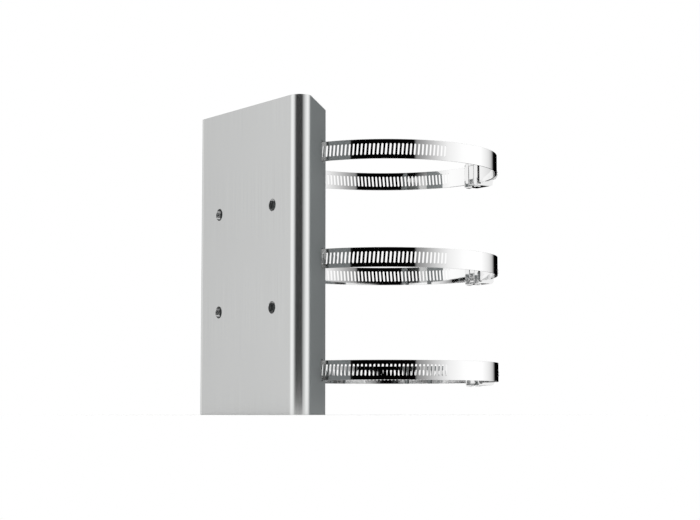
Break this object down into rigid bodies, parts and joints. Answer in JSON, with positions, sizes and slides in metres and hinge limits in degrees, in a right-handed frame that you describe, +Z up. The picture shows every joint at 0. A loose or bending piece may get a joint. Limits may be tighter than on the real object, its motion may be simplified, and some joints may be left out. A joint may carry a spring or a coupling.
{
  "type": "pole mount adapter",
  "caption": "Folded steel plate with four device holes and inward flanges that bear on a pole, strapped on by perforated worm-drive band clamps.",
  "frame": {"origin": "centre of the four device holes, on the plate's front face", "axes": "-Y out of the front face to the device, +Y back to the pole, +Z up along the pole, +X to the right seen from the device"},
  "size_m": [0.1542, 0.2026, 0.2],
  "materials": {
    "plate_steel": "fine satin stainless sheet",
    "band_steel": "bright rolled stainless strip",
    "clamp_steel": "bright stamped stainless",
    "screw_steel": "turned stainless"
  },
  "bodies": {
    "adapter": {"mount_plate": "plate_steel", "clamp_band_bottom": "band_steel", "clamp_housing_bottom": "clamp_steel", "clamp_saddle_bottom": "clamp_steel", "clamp_band_middle": "band_steel", "clamp_housing_middle": "clamp_steel", "clamp_saddle_middle": "clamp_steel", "clamp_band_top": "band_steel", "clamp_housing_top": "clamp_steel", "clamp_saddle_top": "clamp_steel"},
    "screw_bottom": {"clamp_screw_bottom": "screw_steel"},
    "screw_middle": {"clamp_screw_middle": "screw_steel"},
    "screw_top": {"clamp_screw_top": "screw_steel"}
  },
  "joints": [
    {"name": "screw_spin_bottom", "type": "hinge", "parent": "adapter", "child": "screw_bottom", "pos_m": [0.00246, 0.1961, -0.0713], "axis": [0.9996, -0.0297, 0], "continuous": true},
    {"name": "screw_spin_middle", "type": "hinge", "parent": "adapter", "child": "screw_middle", "pos_m": [0.00246, 0.1961, 0.0009], "axis": [0.9996, -0.0297, 0], "continuous": true},
    {"name": "screw_spin_top", "type": "hinge", "parent": "adapter", "child": "screw_top", "pos_m": [0.00246, 0.1961, 0.071], "axis": [0.9996, -0.0297, 0], "continuous": true}
  ]
}
